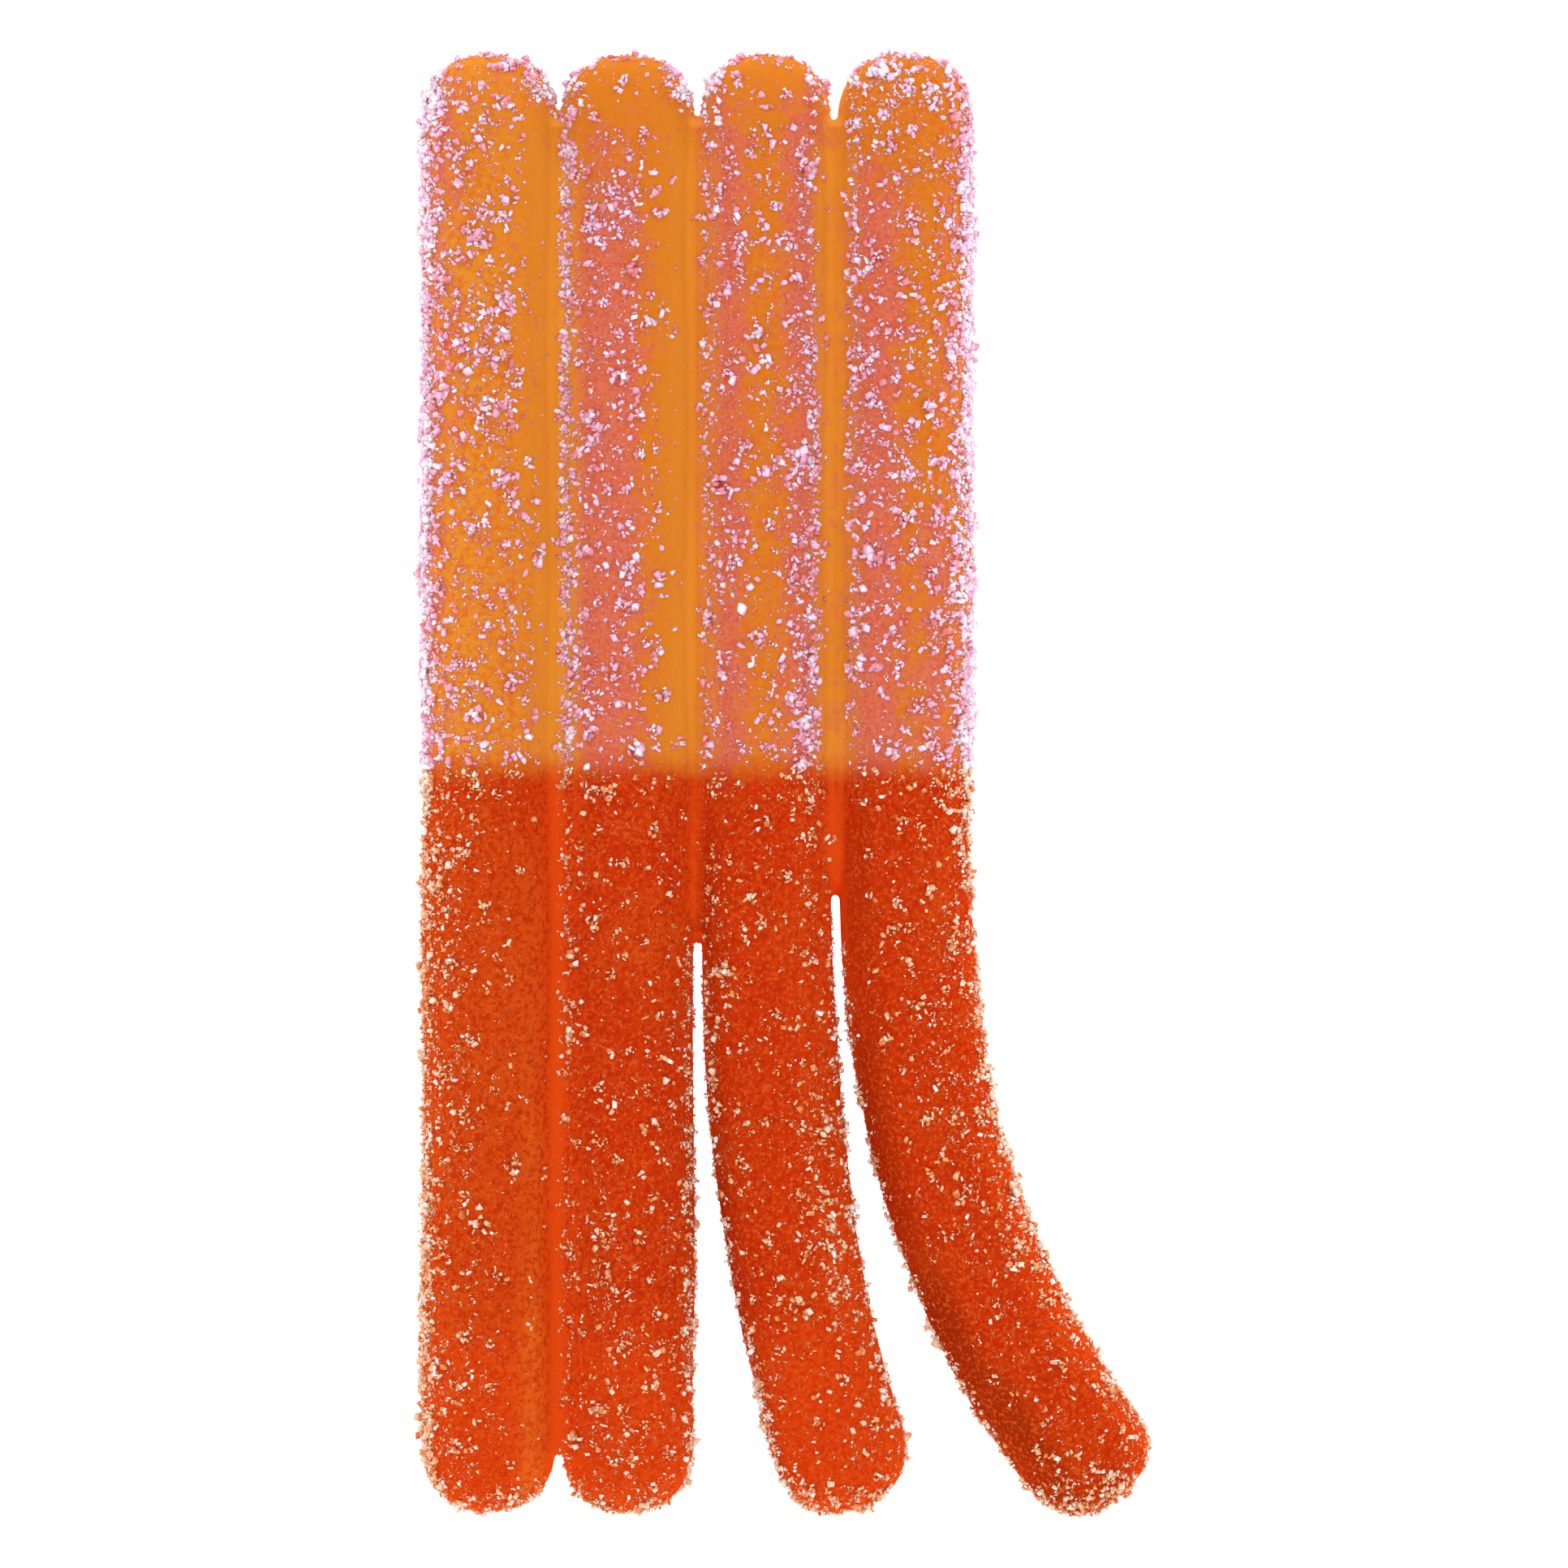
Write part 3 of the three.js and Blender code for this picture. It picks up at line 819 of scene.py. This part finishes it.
class Shades:
    """A material's node tree, with short calls for the nodes that the materials share."""

    def __init__(self, name):
        self.material = bpy.data.materials.new(name)
        self.material.use_nodes = True
        self.tree = self.material.node_tree
        self.shader = self.tree.nodes["Principled BSDF"]
        self.place = self.tree.nodes.new("ShaderNodeTexCoord").outputs["Object"]

    def put(self, value, socket):
        if isinstance(value, bpy.types.NodeSocket):
            self.tree.links.new(value, socket)
        else:
            socket.default_value = value

    def field(self, name):
        node = self.tree.nodes.new("ShaderNodeAttribute")
        node.attribute_name = name
        return node.outputs["Fac"]

    def noise(self, size, detail=2.0, roughness=0.6):
        """Noise from 0 to 1 with features of a size in millimetres."""
        node = self.tree.nodes.new("ShaderNodeTexNoise")
        node.inputs["Scale"].default_value = 1 / (size * MM)
        node.inputs["Detail"].default_value = detail
        node.inputs["Roughness"].default_value = roughness
        self.tree.links.new(self.place, node.inputs["Vector"])
        return node.outputs["Fac"]

    def math(self, operation, a, b):
        node = self.tree.nodes.new("ShaderNodeMath")
        node.operation = operation
        self.put(a, node.inputs[0])
        self.put(b, node.inputs[1])
        return node.outputs[0]

    def ramp(self, value, low, high, to_low=0.0, to_high=1.0):
        """A smooth step of a value from low to high."""
        node = self.tree.nodes.new("ShaderNodeMapRange")
        node.interpolation_type = "SMOOTHSTEP"
        self.put(value, node.inputs["Value"])
        limits = {"From Min": low, "From Max": high, "To Min": to_low, "To Max": to_high}
        for name, number in limits.items():
            node.inputs[name].default_value = number
        return node.outputs["Result"]

    def mix(self, share, a, b):
        """A mix of two colours. The node has its sockets for them after those for other values."""
        node = self.tree.nodes.new("ShaderNodeMix")
        node.data_type = "RGBA"
        self.put(share, node.inputs[0])
        self.put(a, node.inputs[6])
        self.put(b, node.inputs[7])
        return node.outputs[2]

    def swing(self, noise, depth):
        """Noise that swings round 0 instead of 0.5, by a depth."""
        return self.math("MULTIPLY", self.math("SUBTRACT", noise, 0.5), depth)

    def uniform(self, values):
        """Values that are the same all over, each on the shader's own socket."""
        for name, value in values.items():
            self.shader.inputs[name].default_value = value

    def bump(self, height, depth):
        node = self.tree.nodes.new("ShaderNodeBump")
        node.inputs["Distance"].default_value = depth * MM
        self.tree.links.new(height, node.inputs["Height"])
        self.tree.links.new(node.outputs["Normal"], self.shader.inputs["Normal"])


JELLY_SHADE = 0.88  # the light is brighter than white, for the sugar, and the jelly makes up for it
ORANGE = colour(224, 130, 38, JELLY_SHADE)
# partly painted light in the valleys, partly the first strand's yellower orange
ORANGE_LIGHT = colour(234, 148, 46, JELLY_SHADE)
# painted light on the flanks of the creases
ORANGE_FLANK_LIGHT = colour(248, 166, 58, JELLY_SHADE)
ORANGE_SPECK = colour(218, 96, 36, JELLY_SHADE)
# painted light: brighter than the orange, to offset the shade in the notches
ORANGE_SHADE_LIGHTENED = colour(255, 178, 84)  # in the notches between the strands, where little light falls
PINK_HAZE = colour(226, 120, 88, JELLY_SHADE)
PINK_DEEP = colour(214, 96, 72, JELLY_SHADE)
RED = colour(206, 54, 10, JELLY_SHADE)
RED_DEEP = colour(184, 40, 8, JELLY_SHADE)
RED_SPECK = colour(222, 92, 34, JELLY_SHADE)
RED_WARM = colour(218, 92, 22, JELLY_SHADE)
RED_STREAK = colour(236, 112, 30, JELLY_SHADE)
# partly painted light on the crease flanks and the lit sides
RED_BRIGHT = colour(228, 71, 13, JELLY_SHADE)
# painted light on the flanks of the creases
RED_FLANK_LIGHT = colour(250, 86, 18, JELLY_SHADE)
RED_DUSK = colour(160, 46, 9, JELLY_SHADE)
RED_DEEP_BRIGHT = colour(208, 52, 10, JELLY_SHADE)
# painted light in the creases of the red half
RED_CREASE_LIGHT = colour(206, 68, 14)
# painted light: a brighter red that offsets the shade in the creases and gaps
RED_SHADE_LIGHTENED = colour(250, 96, 26)  # in the creases and gaps, where little light falls
RED_TINTS = (("warm", RED_WARM), ("bright", RED_BRIGHT), ("dusk", RED_DUSK), ("flank_light", RED_FLANK_LIGHT))

# Noise in the jelly, by the size of its features in millimetres
FINE_NOISE = 0.25
OTHER_FINE_NOISE = 0.37
MOTTLE_NOISE = 0.6
COARSE_NOISE = 1.4
BROAD_NOISE = 5.0
CHANGE_NOISE = 2.5
SKIN_NOISE = 0.35
DETAIL = 3.0
CRISP = 0.7  # roughness of the fine noises
BLOTCHES = (0.6, 0.4)  # shares of the coarse noise and of the mottle in the haze's uneven edge
HAZE_BREAK = 3.5  # how far the blotches move the haze's edge, as a share of its strength
HAZE_EDGE = (0.1, 0.9)  # strengths between which the pink comes in
CHANGE_WAVE = 1.2  # how far the colour change waves up and down, in millimetres
SKIN_BUMP = 0.05

# How a noise or a field becomes the share of a colour: from and to, and the shares at both where
# they aren't 0 and 1
SUGARED_RAMP = (0.0, 0.45, 0.1, 0.65)
ORANGE_SPECK_RAMP = (0.44, 0.62)
PINK_RAMP = (0.4, 0.65)
WARM_RAMP = (0.45, 0.75, 0.0, 0.35)
STREAK_RAMP = (0.3, 0.6, 0.6, 1.0)
DEEP_RAMP = (0.44, 0.6, 0.0, 0.7)
RED_SPECK_RAMP = (0.5, 0.64, 0.0, 0.8)
JELLY_ROUGHNESS = (0.3, 0.7, 0.38, 0.52)
JELLY_SURFACE = {
    "IOR": 1.45,
    "Specular IOR Level": 0.0,
    "Subsurface Weight": 0.35,
    "Subsurface Radius": (1.0, 0.35, 0.12),
    "Subsurface Scale": 0.8 * MM,
}


def orange_jelly(shades, fine, other_fine, coarse):
    """Orange with a pink haze of fine sugar, and painted light in valleys, creases and notches."""
    orange = shades.mix(shades.field("lane"), ORANGE, ORANGE_LIGHT)
    sugared = shades.ramp(shades.field("sugared"), *SUGARED_RAMP)
    specks = shades.math("MULTIPLY", shades.ramp(other_fine, *ORANGE_SPECK_RAMP), sugared)
    orange = shades.mix(specks, orange, ORANGE_SPECK)
    pink = shades.mix(shades.ramp(fine, *PINK_RAMP), PINK_HAZE, PINK_DEEP)
    blotchy = shades.math("MULTIPLY", coarse, BLOTCHES[0])
    mottled = shades.math("MULTIPLY", shades.noise(MOTTLE_NOISE, DETAIL), BLOTCHES[1])
    blotchy = shades.swing(shades.math("ADD", blotchy, mottled), HAZE_BREAK)
    haze = shades.ramp(shades.math("ADD", shades.field("haze"), blotchy), *HAZE_EDGE)
    orange = shades.mix(haze, orange, pink)
    orange = shades.mix(shades.field("flank_light"), orange, ORANGE_FLANK_LIGHT)
    return shades.mix(shades.field("shaded"), orange, ORANGE_SHADE_LIGHTENED)


def red_jelly(shades, fine, other_fine, coarse):
    """Red, mottled deeper and paler, plainer in the creases, with painted light and painted shade."""
    red = shades.mix(shades.ramp(shades.noise(BROAD_NOISE), *WARM_RAMP), RED, RED_WARM)
    for name, tint in RED_TINTS:
        red = shades.mix(shades.field(name), red, tint)
    streak = shades.math("MULTIPLY", shades.field("streak"), shades.ramp(coarse, *STREAK_RAMP))
    red = shades.mix(streak, red, RED_STREAK)
    # The deep mottle is lighter too under the brighter red, which is partly painted light
    deep_red = shades.mix(shades.field("bright"), RED_DEEP, RED_DEEP_BRIGHT)
    red = shades.mix(shades.ramp(other_fine, *DEEP_RAMP), red, deep_red)
    red = shades.mix(shades.ramp(fine, *RED_SPECK_RAMP), red, RED_SPECK)
    red = shades.mix(shades.field("crease"), red, RED_CREASE_LIGHT)
    return shades.mix(shades.field("shaded"), red, RED_SHADE_LIGHTENED)


def jelly_material():
    """Translucent jelly, orange at one end and red at the other."""
    shades = Shades("jelly")
    fine = shades.noise(FINE_NOISE, DETAIL, CRISP)
    other_fine = shades.noise(OTHER_FINE_NOISE, DETAIL, CRISP)
    coarse = shades.noise(COARSE_NOISE, DETAIL)
    orange = orange_jelly(shades, fine, other_fine, coarse)
    red = red_jelly(shades, fine, other_fine, coarse)
    wavy = shades.swing(shades.noise(CHANGE_NOISE), CHANGE_WAVE)
    along = shades.math("ADD", shades.field("along"), wavy)
    change = shades.ramp(along, CHANGE_AT - CHANGE_LENGTH / 2, CHANGE_AT + CHANGE_LENGTH / 2)
    shades.put(shades.mix(change, orange, red), shades.shader.inputs["Base Color"])
    shades.put(shades.ramp(coarse, *JELLY_ROUGHNESS), shades.shader.inputs["Roughness"])
    shades.uniform(JELLY_SURFACE)
    shades.bump(shades.noise(SKIN_NOISE, DETAIL), SKIN_BUMP)
    return shades.material


GRAIN_NOISE = 0.2
GRAIN_ROUGHNESS = (0.3, 0.7, 0.2, 0.45)
GRAIN_SURFACE = {
    "IOR": 1.54,
    "Specular IOR Level": 0.3,
    "Subsurface Weight": 0.3,
    "Subsurface Radius": (1.0, 1.0, 1.0),
    "Subsurface Scale": 0.25 * MM,
}


def sugar_material(name, tones):
    """Sugar crystals, from clear ones that show the jelly through to white ones."""
    shades = Shades(name)
    ramp = shades.tree.nodes.new("ShaderNodeValToRGB")
    while len(ramp.color_ramp.elements) < len(tones):
        ramp.color_ramp.elements.new(0.5)
    for element, (position, tint) in zip(ramp.color_ramp.elements, tones):
        element.position = position
        element.color = tint
    shades.tree.links.new(shades.field("tone"), ramp.inputs["Fac"])
    shades.put(ramp.outputs["Color"], shades.shader.inputs["Base Color"])
    roughness = shades.ramp(shades.noise(GRAIN_NOISE), *GRAIN_ROUGHNESS)
    shades.put(roughness, shades.shader.inputs["Roughness"])
    shades.uniform(GRAIN_SURFACE)
    return shades.material


# Colours of the grains from tone 0, clear, to tone 1, white
PINK_TONES = [
    (0.0, colour(226, 118, 110)),
    (0.3, colour(238, 161, 184)),
    (0.65, colour(243, 204, 238)),
    (1.0, colour(255, 253, 255)),
]
CREAM_TONES = [
    (0.0, colour(222, 106, 47)),
    (0.3, colour(238, 156, 91)),
    (0.65, colour(241, 210, 181)),
    (1.0, colour(255, 252, 244)),
]


# Pieces

def add_piece(name, mesh, material):
    piece = bpy.data.objects.new(name, mesh)
    bpy.context.scene.collection.objects.link(piece)
    mesh.materials.append(material)
    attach(piece, "root")
    return piece


def make_jelly(mesh):
    """The jelly piece, with its patches of colour kept as fields on the mesh."""
    places = vertex_places(mesh)
    strand, across, along = strand_place(places)
    fields = {
        name: patch_field(patches, soft, strand, across, along)
        for name, (patches, soft) in FIELDS.items()
    }
    fields["along"] = along
    # Walls that lie in shade, where the jelly's colour is lightened as painted light
    narrow = 1 - smoothstep(room_beside(places, WEB_LIP), *SHADED_ROOM)
    low = 1 - smoothstep(places[:, 2], *SHADED_HEIGHT)
    fields["shaded"] = np.maximum(narrow, fields["crease"]) * low
    for name, values in fields.items():
        attribute = mesh.attributes.new(name, "FLOAT", "POINT")
        attribute.data.foreach_set("value", values.astype(np.float32))
    mesh.transform(Matrix.Scale(MM, 4))
    mesh.shade_smooth()
    piece = add_piece("jelly_strands", mesh, jelly_material())
    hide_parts("chew_stick")


def make_sugar(skin, tree):
    """Sugar in three sizes for each colour of the stick, with the caked lumps among the coarse."""
    rng = np.random.default_rng(SEED)
    shapes = {kind: crystal_shapes(rng, *kind.corners) for kind in KINDS}
    pink_material = sugar_material("pink_sugar", PINK_TONES)
    cream_material = sugar_material("cream_sugar", CREAM_TONES)
    for kind in KINDS:
        grains = scatter(rng, skin, tree, kind)
        if kind is COARSE:
            grains = [np.concatenate(parts) for parts in zip(grains, lump_grains(rng, tree))]
        at_orange_end = ORIGIN_Y - grains[0][:, 1] < CHANGE_AT
        for slot, tint, material, chosen in (
            ("pink_sugar", PINK, pink_material, at_orange_end),
            ("cream_sugar", CREAM, cream_material, ~at_orange_end),
        ):
            name = f"{slot}_{kind.name}"
            these = [part[chosen] for part in grains]
            mesh = grains_mesh(rng, name, shapes[kind], kind, tint, *these)
            add_piece(name, mesh, material)


# Floor, light and camera

WHITE = (1.0, 1.0, 1.0, 1.0)
FLOOR_SIZE = 3.0
FLOOR_SURFACE = {
    "Base Color": (0.45, 0.45, 0.45, 1.0),
    "Roughness": 0.9,
    "Emission Color": WHITE,
    "Emission Strength": 1.45,
}
WORLD_LIGHT = 0.95
KEY_POWER = 0.95
KEY_SIZE = 0.5
KEY_PLACE = (0.015, 0.05, 0.55)
CLIP_START = 0.01


def make_floor():
    mesh = bpy.data.meshes.new("floor")
    half = FLOOR_SIZE / 2
    corners = [(-half, -half, 0), (half, -half, 0), (half, half, 0), (-half, half, 0)]
    mesh.from_pydata(corners, [], [(0, 1, 2, 3)])
    shades = Shades("floor")
    shades.uniform(FLOOR_SURFACE)
    mesh.materials.append(shades.material)
    floor = bpy.data.objects.new("floor", mesh)
    bpy.context.scene.collection.objects.link(floor)


def make_lights():
    world = bpy.data.worlds.new("studio")
    bpy.context.scene.world = world
    world.use_nodes = True
    background = world.node_tree.nodes["Background"]
    background.inputs["Color"].default_value = WHITE
    background.inputs["Strength"].default_value = WORLD_LIGHT
    key = bpy.data.lights.new("key", "AREA")
    key.energy = KEY_POWER
    key.size = KEY_SIZE
    lamp = bpy.data.objects.new("key", key)
    lamp.location = KEY_PLACE
    lamp.rotation_euler = Vector(KEY_PLACE).to_track_quat("Z", "Y").to_euler()
    bpy.context.scene.collection.objects.link(lamp)


def make_camera():
    """A long lens straight above, framed as the photograph is."""
    view_width = PHOTO_SIDE / PIXELS_PER_MM * MM
    camera = bpy.data.cameras.new("camera")
    camera.lens = LENS
    camera.sensor_width = SENSOR
    camera.clip_start = CLIP_START
    eye = bpy.data.objects.new("camera", camera)
    middle = PHOTO_SIDE / 2
    x = (middle - STICK_CENTRE[0]) / PIXELS_PER_MM * MM
    y = (STICK_CENTRE[1] - middle) / PIXELS_PER_MM * MM
    eye.location = (x, y, OUTLINE_HEIGHT * MM + view_width * LENS / SENSOR)
    bpy.context.scene.collection.objects.link(eye)
    bpy.context.scene.camera = eye


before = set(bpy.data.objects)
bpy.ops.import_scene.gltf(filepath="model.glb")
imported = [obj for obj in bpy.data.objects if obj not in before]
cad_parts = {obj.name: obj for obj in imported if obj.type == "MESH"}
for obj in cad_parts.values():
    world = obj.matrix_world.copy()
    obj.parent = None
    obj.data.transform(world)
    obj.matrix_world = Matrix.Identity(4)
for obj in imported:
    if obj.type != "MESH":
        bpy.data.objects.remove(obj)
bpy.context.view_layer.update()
jelly = jelly_mesh()
jelly_tree = BVHTree.FromPolygons(
    [vertex.co.copy() for vertex in jelly.vertices],
    [polygon.vertices[:] for polygon in jelly.polygons],
)
make_sugar(jelly, jelly_tree)
make_jelly(jelly)
make_floor()
make_lights()
make_camera()
bpy.context.scene.view_settings.view_transform = "Standard"
